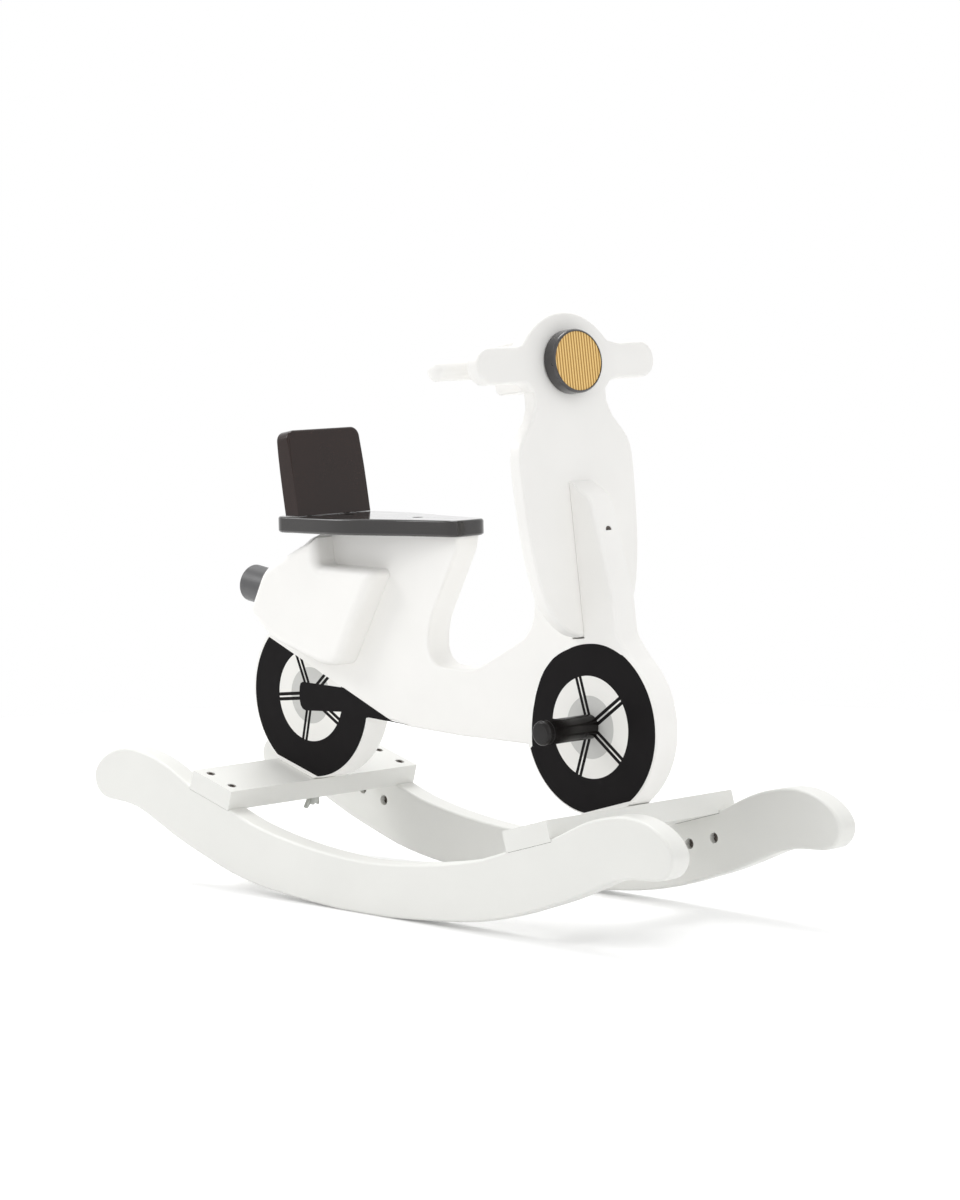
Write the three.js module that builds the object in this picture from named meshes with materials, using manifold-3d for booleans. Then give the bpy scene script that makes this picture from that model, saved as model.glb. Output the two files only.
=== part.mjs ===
// A wooden rocking scooter for a small child.
// One thick board is sawn to the scooter's outline, wheels included, and stands on two planks
// that are bolted across a pair of rockers. Cowls, leg shield, lamp, handle, seat and foot pegs
// are fixed to the board.
//
// Millimetres. +X points to the headlight, +Y to the rider's left, +Z up.
// The origin is on the floor, midway between the rockers and midway along them.

import * as THREE from "three";
import { mergeVertices } from "three/addons/utils/BufferGeometryUtils.js";
import Module from "manifold-3d";

// Rockers
const overallLength = 783.6;
const overallWidth = 252;
const rockerHeight = 126.8;
const rockerThickness = 24;
const restFlatLength = 60;

// Planks across the rockers
const plankWidth = 58;
const plankThickness = 20;
const plankTilt = 16.1;
const plankBoltSpacing = 32;

// The scooter's board
const boardThickness = 30;
const wheelSpacing = 379;
const wheelCentreHeight = 183.3;
const wheelRadius = 84;
const wheelStandHeight = 80.4;
const seatUndersideHeight = 349.4;
const handleArmHeight = 48;
const handleArmReach = 84;
const handleArmCornerRadius = 7;
const columnTopDepth = 40;

// Side cowls
const cowlThickness = 27;
const cowlDowelDiameter = 10;
const cowlDowelEmbed = 18;

// Leg shield, measured up its own slope from its foot
const shieldThickness = 15;
const shieldLean = 7.36;
const shieldFootReach = 183.4;
const shieldFootHeight = 265;
const shieldWidth = 152;
const wingSpan = 237;
const wingHeight = 34;
const headRadius = 70.7;
const headDrop = 23.5;
const headBlend = 7;
const neckBlend = 9;

// Lamp
const lampRise = 255.1;
const lampWidth = 66;
const lampHeight = 59.5;
const lampDepth = 13.5;
const lampRim = 2;
const lampFaceThickness = 1;
const lampFaceSink = 0.5;
const lampDowelDiameter = 8;
const lampDowelEmbed = 8;

// Handle
const handleDiameter = 19;
const handleLength = 250;
const handleDomeLength = 7;
const handleSetback = 54;
const handleRise = 256.4;

// Seat and backrest
const seatTilt = 1.15;
const seatRearReach = 200;
const seatLength = 224;
const seatWidth = 105.4;
const seatThickness = 16;
const seatCornerRadius = 14;
const backrestReach = 166.7;
const backrestWidth = 97;
const backrestHeight = 85;
const backrestThickness = 18;
const backrestLean = 10.4;
const backrestCornerRadius = 10;

// Exhaust, footpegs
const exhaustDiameter = 37.5;
const exhaustSeatWall = 23.2;
const exhaustRise = 8;
const exhaustLength = 72;
const exhaustEdgeRadius = 2.5;
const footpegDiameter = 23;
const footpegLength = 65.5;
const footpegEdgeRadius = 3;
const footpegStudDiameter = 8;
const footpegStudEmbed = 25;

// Connector bolts and barrel nuts between planks and rockers
const connectorDiameter = 6;
const connectorHeadDiameter = 8.5;
const connectorHeadHeight = 4;
const connectorHeadSink = 1.5;
const barrelNutDiameter = 10;
const barrelNutLength = 14;
const barrelNutDrop = 21.4;

// Hanger bolts, washers and wing nuts between board and planks
const hangerDiameter = 6;
const hangerEmbed = 36;
const hangerTail = 13;
const washerDiameter = 16;
const washerThickness = 1.6;
const wingNutBaseDiameter = 12;
const wingNutBaseHeight = 7;
const wingNutSpan = 26;
const wingNutHeight = 13;
const wingNutBladeThickness = 3;
const wingNutTurn = 15;

// Wood screws
const seatScrewDiameter = 5;
const seatScrewLength = 50;
const smallScrewDiameter = 4;
const noseScrewLength = 66;
const shieldScrewLength = 35;
const backrestScrewLength = 44;
const handleScrewLength = 34;
const screwHeadShare = 2;
const screwConeShare = 0.5;
const noseScrewRise = 96.9;
const shieldScrewSpacing = 36;
const backrestScrewSpacing = 50;
const seatScrewReaches = [50, 146];

// Fits and facets
const seam = 0.3;
const overrun = 6;
const largeRoundSides = 72;
const mediumRoundSides = 28;
const smallRoundSides = 10;
const splineSteps = 2;

// Places that follow from the sizes
const halfLength = overallLength / 2;
const rockerCentre = (overallWidth - rockerThickness) / 2;
const halfBoard = boardThickness / 2;
const wheelReach = wheelSpacing / 2;
const radians = THREE.MathUtils.degToRad;
const seatRise = seatUndersideHeight - wheelCentreHeight;

// Right half of a rocker's outline, from the end of its flat foot, round the tip and back along
// the top to the middle, as shares of half the length and of the height
const rockerShares = [
  [0.186, 0.02], [0.312, 0.053], [0.398, 0.089], [0.485, 0.146], [0.574, 0.232], [0.667, 0.33],
  [0.754, 0.442], [0.796, 0.499], [0.835, 0.539], [0.875, 0.561], [0.914, 0.568], [0.948, 0.575],
  [0.973, 0.599], [0.99, 0.648], [0.998, 0.7], [1, 0.75], [0.996, 0.795], [0.986, 0.843],
  [0.97, 0.89], [0.947, 0.935], [0.919, 0.971], [0.888, 0.993], [0.858, 1], [0.831, 0.995],
  [0.803, 0.981], [0.771, 0.959], [0.74, 0.93], [0.71, 0.893], [0.679, 0.848], [0.643, 0.795],
  [0.611, 0.752], [0.577, 0.715], [0.523, 0.669], [0.468, 0.617], [0.398, 0.547], [0.309, 0.488],
  [0.219, 0.446], [0.119, 0.413],
];
const rockerMiddleShare = 0.3953;

// Corners of the board's rear, as shares of the wheel reach and of the height from wheel centre to
// seat, then the corner's radius as a share of the wheel radius
const rearShares = [
  [-0.87, 1.012, 0], [-0.985, 0.93, 0.3], [-1.22, 0.765, 0.42], [-1.3255, 0.477, 0.13],
];
const tailShares = [[-1.16, 0.33, 0.7], [-1, 0.2, 0]];
// Both cowls all round from the tip under the seat, in the same shares
const cowlShares = [
  [-0.818, 0.957, 0], [-1.208, 0.745, 0.42], [-1.3255, 0.477, 0.13],
  [-1.16, 0.33, 0.7], [-0.78, 0.207, 0.5], [-0.66, 0.207, 0.16], [-0.376, 0.786, 0.06],
  [-0.8, 0.787, 0.1],
];
// The board's belly, nose, step-through and post, in the same shares
const bellyShares = [
  [-1, -0.1, 0], [-0.38, -0.104, 0.25], [-0.27, -0.128, 0.5], [0.1, -0.144, 2.5], [0.85, -0.144, 0],
];
const noseShares = [
  [1.12, 0.2, 0], [1.278, 0.392, 0], [1.182, 0.52, 0.32], [1.157, 0.74, 0.9], [1.012, 1.278, 0.28],
];
const stepShares = [
  [0.63, 0.72, 2], [0.615, 0.5, 0.62], [0.2, 0.24, 0.75], [-0.1135, 0.248, 0.3],
  [-0.1187, 0.474, 0.75], [0.0844, 0.919, 0.3],
];
const postTopShare = 0.1;
// Where the nose's edge meets the shield, as a share of the nose screw's rise
const noseTopShare = 1.55;
// The pipe's seat in the board, as a share of the height from wheel centre to seat
const exhaustSeatShare = 0.563;

// Right half of the leg shield below its wings, as shares of half its width and of the rise to
// the wings' lower edge
const shieldShares = [
  [0.2, 0.005], [0.42, 0.025], [0.64, 0.082], [0.8, 0.157], [0.9, 0.272], [0.957, 0.396],
  [0.985, 0.532], [1, 0.66], [0.979, 0.741], [0.885, 0.796], [0.715, 0.857], [0.637, 0.915],
];

// Right half of the seat, as shares of its length from the rear and of half its width
const seatShares = [
  [0.18, 1], [0.348, 0.997], [0.451, 0.94], [0.545, 0.835], [0.643, 0.715], [0.732, 0.622],
  [0.817, 0.55], [0.893, 0.49], [0.938, 0.452], [0.971, 0.41], [0.992, 0.315], [1, 0.18], [1, 0],
];
const cowlDowelShares = [[-0.58, 0.6], [-1, 0.52]];

const wasm = await Module();
wasm.setup();

// Materials: satin paint, gloss paint, printed card and plated steel

function paint(color, roughness, metalness) {
  return () => new THREE.MeshStandardMaterial({ color, roughness, metalness });
}

const whitePaint = paint(0xf4f3ee, 0.45, 0);
const blackGloss = paint(0x15100f, 0.2, 0);
const blackSatin = paint(0x141414, 0.35, 0);
const greyPaint = paint(0x7d8084, 0.4, 0);
const lampPaint = paint(0x3c3d42, 0.3, 0.3);
const lampPrint = paint(0xdca94e, 0.5, 0);
const zincSteel = paint(0xb9bcc0, 0.35, 0.9);
const darkSteel = paint(0x4a4b4e, 0.4, 0.8);
const beech = paint(0xd9b98c, 0.7, 0);

// Solids

function toSolid(geometry) {
  const bare = geometry.clone();
  bare.deleteAttribute("normal");
  bare.deleteAttribute("uv");
  const merged = mergeVertices(bare, seam / 1000);
  return new wasm.Manifold(new wasm.Mesh({
    numProp: 3,
    vertProperties: new Float32Array(merged.attributes.position.array),
    triVerts: new Uint32Array(merged.index.array),
  }));
}

function toGeometry(solid) {
  const mesh = solid.getMesh();
  const geometry = new THREE.BufferGeometry();
  geometry.setAttribute("position", new THREE.BufferAttribute(new Float32Array(mesh.vertProperties), 3));
  geometry.setIndex(new THREE.BufferAttribute(new Uint32Array(mesh.triVerts), 1));
  geometry.computeVertexNormals();
  return geometry;
}

function cut(geometry, cutters) {
  const tools = cutters.map(toSolid);
  const solid = tools.reduce((rest, tool) => rest.subtract(tool), toSolid(geometry));
  return toGeometry(solid);
}

function join(geometries) {
  const [first, ...others] = geometries.map(toSolid);
  return toGeometry(others.reduce((sum, solid) => sum.add(solid), first));
}

// Outlines

function point(x, y) {
  return new THREE.Vector2(x, y);
}

function arc(centreX, centreY, radius, from, to, sides = largeRoundSides) {
  const steps = Math.max(2, Math.ceil(Math.abs(to - from) / (2 * Math.PI) * sides));
  return Array.from({ length: steps + 1 }, (_, i) => {
    const angle = from + (to - from) * i / steps;
    return point(centreX + radius * Math.cos(angle), centreY + radius * Math.sin(angle));
  });
}

// A polygon with each corner rounded to its own radius, as far as its two edges allow
function rounded(corners, roundSides = largeRoundSides) {
  return corners.flatMap(([x, y, radius], i) => {
    const corner = point(x, y);
    const before = point(...corners.at(i - 1)).sub(corner);
    const after = point(...corners[(i + 1) % corners.length]).sub(corner);
    const half = Math.acos(THREE.MathUtils.clamp(
      before.clone().normalize().dot(after.clone().normalize()), -1, 1)) / 2;
    const reach = Math.min(radius / Math.tan(half), before.length() / 2, after.length() / 2);
    if (reach <= 0) return [corner];
    const start = corner.clone().addScaledVector(before.normalize(), reach);
    const end = corner.clone().addScaledVector(after.normalize(), reach);
    const steps = Math.max(2, Math.round((Math.PI - 2 * half) / (2 * Math.PI) * roundSides));
    const blend = new THREE.QuadraticBezierCurve(start, corner, end);
    const round = Math.tan(half) * reach;
    const centre = corner.clone().addScaledVector(
      before.clone().add(after.normalize()).normalize(), reach / Math.cos(half));
    return blend.getPoints(steps).map((p) => p.sub(centre).setLength(round).add(centre));
  });
}

function smooth(points) {
  return new THREE.SplineCurve(points).getPoints(splineSteps * (points.length - 1));
}

function mirrored(points) {
  return points.map((p) => point(-p.x, p.y)).reverse();
}

// Shares of the board's own frame, wheel reach by height from wheel centre to seat
function onBoard(shares) {
  return shares.map(([alongShare, upShare, radiusShare]) => [
    alongShare * wheelReach,
    wheelCentreHeight + upShare * seatRise,
    radiusShare * wheelRadius,
  ]);
}

// A plate whose outline lies in X and Z, centred on Y
function uprightPlate(outline, thickness) {
  return new THREE.ExtrudeGeometry(new THREE.Shape(outline), { depth: thickness, bevelEnabled: false })
    .translate(0, 0, -thickness / 2)
    .rotateX(Math.PI / 2);
}

// A plate whose outline lies in X and Y, standing on Z = 0
function flatPlate(outline, thickness) {
  return new THREE.ExtrudeGeometry(new THREE.Shape(outline), { depth: thickness, bevelEnabled: false });
}

// Round pieces about Z, rising from Z = 0

function rod(radius, length, sides = smallRoundSides) {
  return new THREE.CylinderGeometry(radius, radius, length, sides)
    .rotateX(Math.PI / 2)
    .translate(0, 0, length / 2);
}

// A rod whose top edge is rounded over edgeRadius across and edgeHeight along it
function roundedRod(radius, length, edgeRadius, edgeHeight, edgeSides = smallRoundSides) {
  const edge = arc(0, 0, 1, 0, Math.PI / 2, edgeSides)
    .map((p) => point(radius - edgeRadius + p.x * edgeRadius, length - edgeHeight + p.y * edgeHeight));
  const crown = edgeRadius < radius ? [point(0, length)] : [];
  const profile = [point(0, 0), point(radius, 0), ...edge, ...crown];
  profile.forEach((p) => { p.x = Math.abs(p.x) < seam / 1000 ? 0 : p.x; });
  return new THREE.LatheGeometry(profile, mediumRoundSides).rotateX(Math.PI / 2);
}

// A countersunk wood screw with its head's top at Z = 0 and its tip at Z = -length
function woodScrew(diameter, length) {
  const radius = diameter / 2;
  const headRadius = radius * screwHeadShare;
  const coneDepth = diameter * screwConeShare;
  const profile = [
    point(0, -length), point(radius, -length + diameter), point(radius, -coneDepth),
    point(headRadius, 0), point(0, 0),
  ];
  return new THREE.LatheGeometry(profile, smallRoundSides).rotateX(Math.PI / 2);
}

// The hole for that screw, with its mouth open above Z = 0
function screwHole(diameter, length) {
  const radius = diameter / 2 + seam;
  const headRadius = diameter / 2 * screwHeadShare + seam;
  const coneDepth = diameter * screwConeShare;
  const profile = [
    point(0, -length - seam), point(radius, -length - seam), point(radius, -coneDepth - seam),
    point(headRadius, -seam / 2), point(headRadius, overrun), point(0, overrun),
  ];
  return new THREE.LatheGeometry(profile, smallRoundSides).rotateX(Math.PI / 2);
}

// Frames: places from which sloping pieces are measured

function frame(x, z, turn) {
  const group = new THREE.Group();
  group.position.set(x, 0, z);
  group.rotation.y = turn;
  group.updateMatrixWorld();
  return group;
}

const planks = [1, -1].map((side) => {
  const tilt = radians(plankTilt);
  return frame(
    side * (wheelReach + wheelStandHeight * Math.sin(tilt)),
    wheelCentreHeight - wheelStandHeight * Math.cos(tilt),
    -side * tilt,
  );
});
const [frontPlankFrame, rearPlankFrame] = planks;

// X runs forward along the seat, Z stands out of its underside
const seatFrame = frame(0, seatUndersideHeight, -radians(seatTilt));

// X runs to the rider's left, Y up the shield's slope, Z forward out of its front face
const shieldFrame = new THREE.Group();
shieldFrame.position.set(shieldFootReach, 0, shieldFootHeight);
shieldFrame.quaternion.setFromRotationMatrix(new THREE.Matrix4().makeBasis(
  new THREE.Vector3(0, 1, 0),
  new THREE.Vector3(-Math.sin(radians(shieldLean)), 0, Math.cos(radians(shieldLean))),
  new THREE.Vector3(Math.cos(radians(shieldLean)), 0, Math.sin(radians(shieldLean))),
));
shieldFrame.updateMatrixWorld();

function placed(geometry, group) {
  return geometry.clone().applyMatrix4(group.matrixWorld);
}

// A point behind the shield's front face, at a rise up its slope, in the board's plane
function behindShield(depth, rise) {
  const at = new THREE.Vector3(0, rise, -depth).applyMatrix4(shieldFrame.matrixWorld);
  return point(at.x, at.z);
}

const scooter = new THREE.Group();
scooter.name = "rocking_scooter";

function piece(name, geometry, material, parent = scooter) {
  const mesh = new THREE.Mesh(geometry, material());
  mesh.name = name;
  parent.add(mesh);
  return mesh;
}

// Planks and everything that passes through them

function plankBlock(grow) {
  return new THREE.BoxGeometry(plankWidth + 2 * grow, overallWidth, plankThickness + 2 * grow)
    .translate(0, 0, -plankThickness / 2);
}

// Rows and sides of the bolts, by name and direction
const rows = [["inner", -1], ["outer", 1]];
const sides = [["right", -1], ["left", 1]];

function atRockerBolt(geometry, along, side) {
  return geometry.translate(along * plankBoltSpacing / 2, side * rockerCentre, 0);
}

function atEachRockerBolt(make) {
  return rows.flatMap(([, along]) => sides.map(([, side]) => atRockerBolt(make(), along, side)));
}

function atHanger(geometry, along) {
  return geometry.translate(along * plankBoltSpacing / 2, 0, 0);
}

function atEachHanger(make) {
  return rows.map(([, along]) => atHanger(make(), along));
}

const connectorLength = plankThickness + barrelNutDrop + barrelNutDiameter;

function connectorBolt(grow) {
  const shank = rod(connectorDiameter / 2 + grow, connectorLength + grow)
    .translate(0, 0, -connectorLength - grow);
  const headTop = grow > 0 ? overrun : -connectorHeadSink;
  const headBottom = -connectorHeadSink - connectorHeadHeight - grow;
  const head = rod(connectorHeadDiameter / 2 + grow, headTop - headBottom).translate(0, 0, headBottom);
  return join([shank, head]);
}

function barrelNut(grow) {
  const radius = barrelNutDiameter / 2 + grow;
  return rod(radius, barrelNutLength + 2 * grow)
    .translate(0, 0, -barrelNutLength / 2 - grow)
    .rotateX(Math.PI / 2)
    .translate(0, 0, -plankThickness - barrelNutDrop);
}

function hangerShaft(grow) {
  const below = plankThickness + hangerTail;
  return rod(hangerDiameter / 2 + grow, hangerEmbed + below + 2 * grow).translate(0, 0, -below - grow);
}

function plank() {
  return cut(plankBlock(0), [
    ...atEachRockerBolt(() => connectorBolt(seam)),
    ...atEachHanger(() => hangerShaft(seam)),
  ]);
}

function washer() {
  return cut(
    rod(washerDiameter / 2, washerThickness),
    [rod(hangerDiameter / 2 + seam, washerThickness + 2 * overrun).translate(0, 0, -overrun)],
  ).translate(0, 0, -plankThickness - washerThickness - seam);
}

function wingNut() {
  const base = rod(wingNutBaseDiameter / 2, wingNutBaseHeight);
  const inner = wingNutBaseDiameter / 4;
  const blade = rounded([
    [inner, wingNutBaseHeight / 4, 0],
    [wingNutSpan / 3, wingNutBaseHeight / 3, wingNutHeight / 4],
    [wingNutSpan / 2, wingNutHeight, wingNutHeight / 3],
    [wingNutSpan / 3, wingNutHeight, wingNutHeight / 4],
    [inner, wingNutBaseHeight, 0],
  ], smallRoundSides);
  const blades = [0, Math.PI].map((turn) => uprightPlate(blade, wingNutBladeThickness).rotateZ(turn));
  const thread = rod(hangerDiameter / 2 + seam, wingNutHeight + 2 * overrun)
    .translate(0, 0, -overrun);
  return cut(join([base, ...blades]), [thread])
    .rotateX(Math.PI)
    .rotateZ(Math.PI / 2 + radians(wingNutTurn));
}

function drilledBarrelNut() {
  const hole = rod(connectorDiameter / 2 + seam, connectorLength + overrun)
    .translate(0, 0, -connectorLength - overrun);
  return cut(barrelNut(0), [hole]);
}

[["front", 1], ["rear", -1]].forEach(([end, outward], i) => {
  const parent = planks[i];
  scooter.add(parent);
  piece(`${end}_plank`, plank(), whitePaint, parent);
  rows.forEach(([row, rowSide]) => {
    const along = rowSide * outward;
    sides.forEach(([sideName, side]) => {
      const bolt = atRockerBolt(connectorBolt(0), along, side);
      piece(`${end}_${row}_${sideName}_bolt`, bolt, darkSteel, parent);
      const nut = atRockerBolt(drilledBarrelNut(), along, side);
      piece(`${end}_${row}_${sideName}_barrel_nut`, nut, zincSteel, parent);
    });
    piece(`${end}_${row}_hanger_bolt`, atHanger(hangerShaft(0), along), zincSteel, parent);
    piece(`${end}_${row}_washer`, atHanger(washer(), along), zincSteel, parent);
    const wing = piece(`${end}_${row}_wing_nut`, wingNut(), zincSteel, parent);
    wing.position.set(along * plankBoltSpacing / 2, 0, -plankThickness - washerThickness - 2 * seam);
  });
});

// Rockers

const rockerRight = rockerShares.map(([alongShare, upShare]) => (
  point(alongShare * halfLength, upShare * rockerHeight)));
const rockerTopMiddle = point(0, rockerHeight * rockerMiddleShare);
const footEnd = point(restFlatLength / 2, 0);
const rockerOutline = smooth([
  footEnd, ...rockerRight, rockerTopMiddle, ...mirrored([footEnd, ...rockerRight]),
]);

function rocker(side) {
  const plate = uprightPlate(rockerOutline, rockerThickness).translate(0, side * rockerCentre, 0);
  const inward = -side;
  return cut(plate, planks.flatMap((group) => [
    placed(plankBlock(seam), group),
    ...atEachRockerBolt(() => connectorBolt(seam)).map((hole) => placed(hole, group)),
    ...rows.map(([, along]) => {
      const pocketLength = rockerThickness / 2 + barrelNutLength / 2 + seam + overrun;
      const start = side * rockerCentre - inward * (barrelNutLength / 2 + seam);
      const pocket = rod(barrelNutDiameter / 2 + seam, pocketLength)
        .rotateX(-inward * Math.PI / 2)
        .translate(along * plankBoltSpacing / 2, start, -plankThickness - barrelNutDrop);
      return placed(pocket, group);
    }),
  ]));
}

piece("right_rocker", rocker(-1), whitePaint);
piece("left_rocker", rocker(1), whitePaint);

// The board: a panel and two wheel discs in one piece, slotted for the leg shield

const slotWidth = shieldThickness + 2 * seam;
const armTopRise = handleRise + handleArmHeight / 2;
const armBottomRise = handleRise - handleArmHeight / 2;

function corner(at, radius) {
  return [at.x, at.y, radius];
}

const seatLine = (x) => seatUndersideHeight + x * Math.tan(radians(seatTilt)) - seam;
const postTop = postTopShare * wheelReach;
const rearTop = onBoard(rearShares)[0][0];

const panelOutline = rounded([
  ...onBoard(bellyShares),
  ...onBoard(noseShares),
  corner(behindShield(shieldThickness / 2, noseScrewRise * noseTopShare), 0),
  corner(behindShield(shieldThickness / 2, armTopRise), 0),
  corner(behindShield(handleArmReach, armTopRise), handleArmCornerRadius),
  corner(behindShield(handleArmReach, armBottomRise), handleArmCornerRadius),
  corner(behindShield(columnTopDepth, armBottomRise), handleArmCornerRadius),
  ...onBoard(stepShares),
  [postTop, seatLine(postTop), 0],
  [rearTop, seatLine(rearTop), 0],
  ...onBoard(rearShares).slice(1),
  ...onBoard(tailShares),
]);

function wheelDisc(side) {
  return rod(wheelRadius, boardThickness, largeRoundSides)
    .rotateX(Math.PI / 2)
    .translate(side * wheelReach, halfBoard, wheelCentreHeight);
}

const slot = new THREE.BoxGeometry(shieldWidth, lampRise + headRadius, slotWidth)
  .translate(0, (lampRise + headRadius) / 2 - seam, -slotWidth / 2 + seam);
const wheelFlat = new THREE.BoxGeometry(wheelRadius * 2, overallWidth, wheelRadius)
  .translate(0, 0, -wheelRadius / 2 + seam);

const handleAt = behindShield(handleSetback, handleRise);

function handleBore(radius) {
  return rod(radius, boardThickness + 2 * overrun, mediumRoundSides)
    .rotateX(Math.PI / 2)
    .translate(handleAt.x, halfBoard + overrun, handleAt.y);
}

// The pipe stands in a blind seat behind the rear cowl dowel and rises rearward
function atExhaustSeat(geometry) {
  const reach = wheelReach + cowlDowelDiameter / 2 + exhaustSeatWall;
  return geometry
    .rotateY(-Math.PI / 2 + radians(exhaustRise))
    .translate(-reach, 0, wheelCentreHeight + exhaustSeatShare * seatRise);
}

function exhaustSeat() {
  const seat = rod(exhaustDiameter / 2 + seam, exhaustLength + seam, mediumRoundSides);
  return atExhaustSeat(seat.translate(0, 0, -seam));
}

function cowlDowel(grow) {
  const length = boardThickness + 2 * cowlDowelEmbed + 2 * grow;
  return cowlDowelShares.map(([alongShare, upShare]) => rod(cowlDowelDiameter / 2 + grow, length)
    .translate(0, 0, -length / 2)
    .rotateX(Math.PI / 2)
    .translate(alongShare * wheelReach, 0, wheelCentreHeight + upShare * seatRise));
}

function footpegStud(grow) {
  const length = boardThickness + 2 * footpegStudEmbed + 2 * grow;
  return rod(footpegStudDiameter / 2 + grow, length)
    .translate(0, 0, -length / 2)
    .rotateX(Math.PI / 2)
    .translate(wheelReach, 0, wheelCentreHeight);
}

// Screws that run square into the shield's slope: make() is a screw or its hole, top at Z = 0
function alongShield(make, rise, depth) {
  return make().translate(0, rise, depth);
}

// How far the nose's front edge stands out of the shield's front face at a rise
function noseReach(rise) {
  const toShield = shieldFrame.matrixWorld.clone().invert();
  const edge = panelOutline.map((p) => new THREE.Vector3(p.x, 0, p.y).applyMatrix4(toShield));
  const next = edge.findIndex((p) => p.z > 0 && p.y > rise);
  const [low, high] = [edge[next - 1], edge[next]];
  return low.z + (high.z - low.z) * (rise - low.y) / (high.y - low.y);
}

const noseScrewDepth = noseReach(noseScrewRise);

const screwSink = smallScrewDiameter / 4;
const shieldScrewRises = [-1, 1].map((way) => handleRise + way * shieldScrewSpacing / 2);

function noseScrew(make) {
  return placed(alongShield(make, noseScrewRise, noseScrewDepth - screwSink), shieldFrame);
}

function shieldScrews(make) {
  return shieldScrewRises.map((rise) => placed(alongShield(make, rise, -screwSink), shieldFrame));
}

function handleScrew(make) {
  const screw = make().rotateY(Math.PI).translate(0, handleRise, screwSink - handleArmReach);
  return placed(screw, shieldFrame);
}

function seatScrews(make) {
  return seatScrewReaches.map((reach) => (
    placed(make().translate(-reach, 0, seatThickness - screwSink), seatFrame)));
}

const smallScrew = (length) => () => woodScrew(smallScrewDiameter, length);
const smallHole = (length) => () => screwHole(smallScrewDiameter, length);
const seatScrew = () => woodScrew(seatScrewDiameter, seatScrewLength);
const seatHole = () => screwHole(seatScrewDiameter, seatScrewLength);

const board = join([uprightPlate(panelOutline, boardThickness), wheelDisc(1), wheelDisc(-1)]);
piece("scooter_board", cut(board, [
  placed(slot, shieldFrame),
  ...planks.map((group) => placed(wheelFlat, group)),
  ...planks.flatMap((group) => atEachHanger(() => hangerShaft(seam)).map((hole) => placed(hole, group))),
  handleBore(handleDiameter / 2 + seam),
  exhaustSeat(),
  ...cowlDowel(seam),
  footpegStud(seam),
  noseScrew(smallHole(noseScrewLength)),
  ...shieldScrews(smallHole(shieldScrewLength)),
  handleScrew(smallHole(handleScrewLength)),
  ...seatScrews(seatHole),
]), whitePaint);

// Cowls

const cowlOutline = rounded(onBoard(cowlShares));
const cowlUnderSeat = new THREE.BoxGeometry(seatLength, overallWidth, seatThickness)
  .translate(-seatRearReach + seatLength / 2, 0, seatThickness / 2 - seam);

function cowl(side) {
  const plate = uprightPlate(cowlOutline, cowlThickness)
    .translate(0, side * (halfBoard + seam + cowlThickness / 2), 0);
  return cut(plate, [
    placed(cowlUnderSeat, seatFrame),
    exhaustSeat(),
    ...cowlDowel(seam),
  ]);
}

piece("right_cowl", cowl(-1), whitePaint);
piece("left_cowl", cowl(1), whitePaint);
["front", "rear"].forEach((end, i) => piece(`${end}_cowl_dowel`, cowlDowel(0)[i], beech));

// Leg shield with its two wings

scooter.add(shieldFrame);
const wingRadius = wingHeight / 2;
const wingTip = wingSpan / 2 - wingRadius;
const wingLow = lampRise - wingRadius;
const wingHigh = lampRise + wingRadius;
const headCentre = lampRise - headDrop;
const headStart = Math.asin((wingHigh - headCentre) / headRadius);
const headBlendAngle = headBlend / headRadius;
const neckEdge = shieldShares.at(-1)[0] * shieldWidth / 2;

function blend(from, via, to) {
  return new THREE.QuadraticBezierCurve(from, via, to).getPoints(splineSteps);
}

const lowerShield = smooth([
  point(0, 0),
  ...shieldShares.map(([acrossShare, upShare]) => point(acrossShare * shieldWidth / 2, upShare * wingLow)),
]);
const headArc = arc(0, headCentre, headRadius, headStart + headBlendAngle, Math.PI / 2);
const headFoot = point(headRadius * Math.cos(headStart), wingHigh);
const shieldRight = [
  ...lowerShield,
  ...blend(point(neckEdge, wingLow - neckBlend), point(neckEdge + neckBlend / 2, wingLow),
    point(neckEdge + 2 * neckBlend, wingLow)),
  ...arc(wingTip, lampRise, wingRadius, -Math.PI / 2, Math.PI / 2),
  ...blend(point(headFoot.x + headBlend, wingHigh), headFoot, headArc[0]).slice(0, -1),
  ...headArc,
];
const shieldOutline = [...shieldRight, ...mirrored(shieldRight.slice(1, -1))];

function lampDowel(grow) {
  const embed = lampDowelEmbed + grow;
  return rod(lampDowelDiameter / 2 + grow, 2 * embed + seam).translate(0, lampRise, -embed);
}

function inShieldFrame(geometry) {
  return geometry.applyMatrix4(shieldFrame.matrixWorld.clone().invert());
}

piece("leg_shield", cut(flatPlate(shieldOutline, shieldThickness).translate(0, 0, -shieldThickness), [
  inShieldFrame(noseScrew(smallHole(noseScrewLength))),
  ...shieldScrews(smallHole(shieldScrewLength)).map(inShieldFrame),
  lampDowel(seam),
]), whitePaint, shieldFrame);

// Lamp

const lampBack = seam;
const lampFront = lampBack + lampDepth;
const faceSeat = lampFront - lampFaceSink - lampFaceThickness;

function ovalDisc(width, height, thickness) {
  return rod(1 / 2, thickness, mediumRoundSides + smallRoundSides)
    .scale(width, height, 1)
    .translate(0, lampRise, 0);
}

const faceHollowWidth = lampWidth - 2 * lampRim;
const faceHollowHeight = lampHeight - 2 * lampRim;
piece("headlight_body", cut(ovalDisc(lampWidth, lampHeight, lampDepth).translate(0, 0, lampBack), [
  ovalDisc(faceHollowWidth, faceHollowHeight, lampDepth).translate(0, 0, faceSeat),
  lampDowel(seam),
]), lampPaint, shieldFrame);
piece("headlight_face", ovalDisc(
  faceHollowWidth - 2 * seam, faceHollowHeight - 2 * seam, lampFaceThickness,
).translate(0, 0, faceSeat + seam), lampPrint, shieldFrame);
piece("headlight_dowel", lampDowel(0), beech, shieldFrame);

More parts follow.
